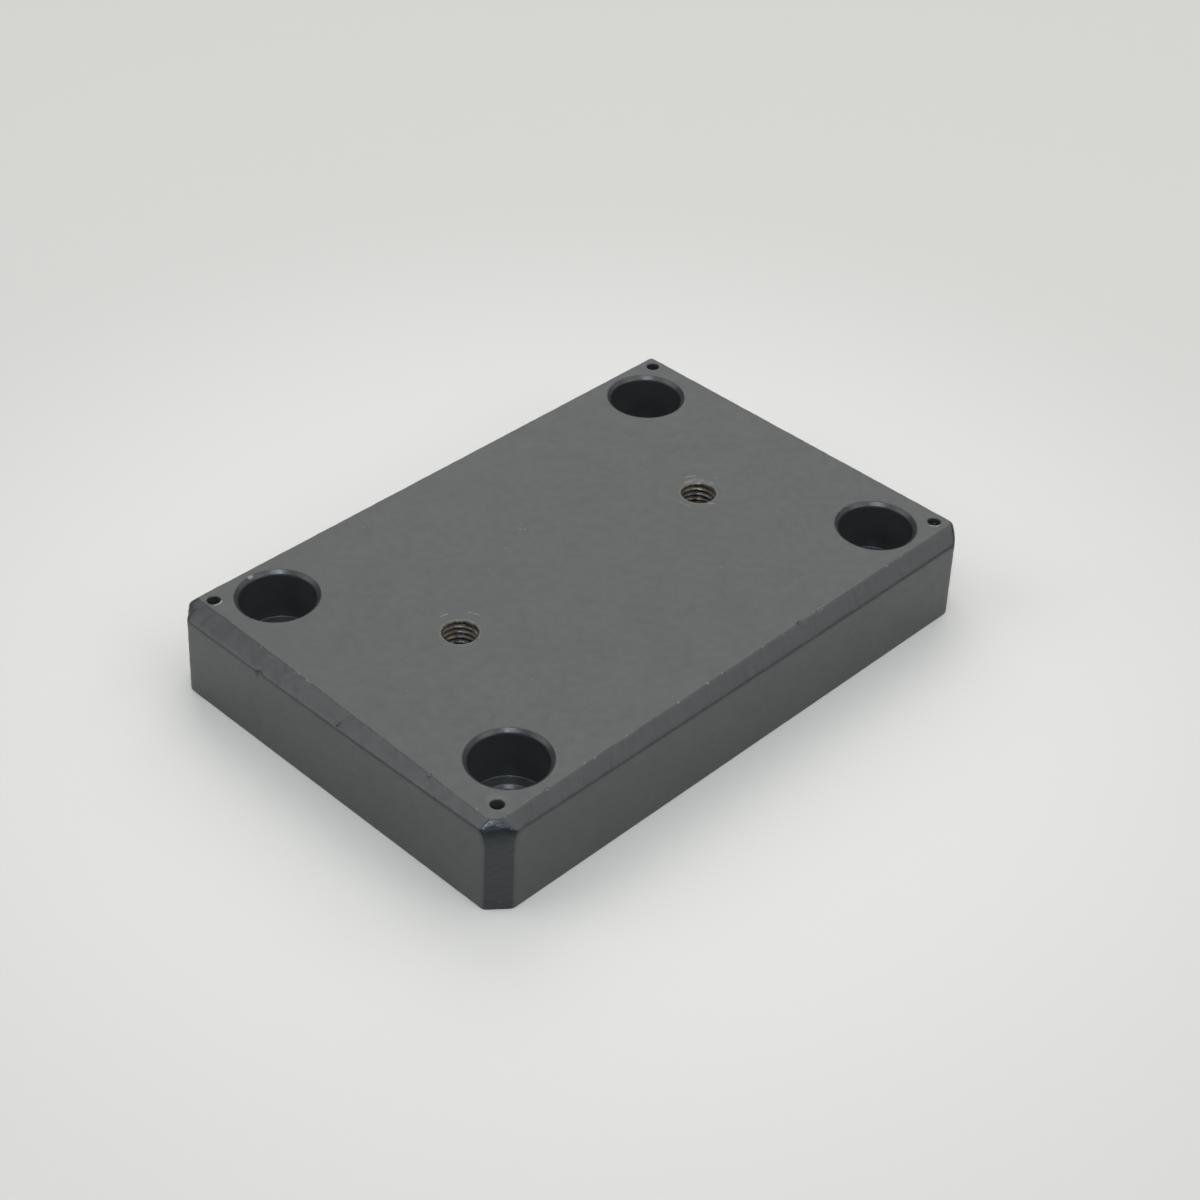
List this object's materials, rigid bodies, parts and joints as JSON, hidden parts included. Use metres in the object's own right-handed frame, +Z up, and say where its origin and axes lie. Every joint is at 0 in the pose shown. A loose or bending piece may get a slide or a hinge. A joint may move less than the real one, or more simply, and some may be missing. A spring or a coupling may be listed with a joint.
{
  "type": "mounting block",
  "caption": "Thick rectangular painted steel mounting block with counterbored screw holes, tapped holes on its centre line, corner pilot holes and bevelled edges.",
  "frame": {"origin": "middle of the underside", "axes": "+X along the length, +Y across the width, +Z up out of the face with the counterbores"},
  "size_m": [0.134, 0.0914, 0.02],
  "materials": {
    "grey_paint": "dark grey satin enamel over machined and hand-ground steel"
  },
  "bodies": {
    "root": {"mounting_block": "grey_paint"}
  },
  "joints": []
}
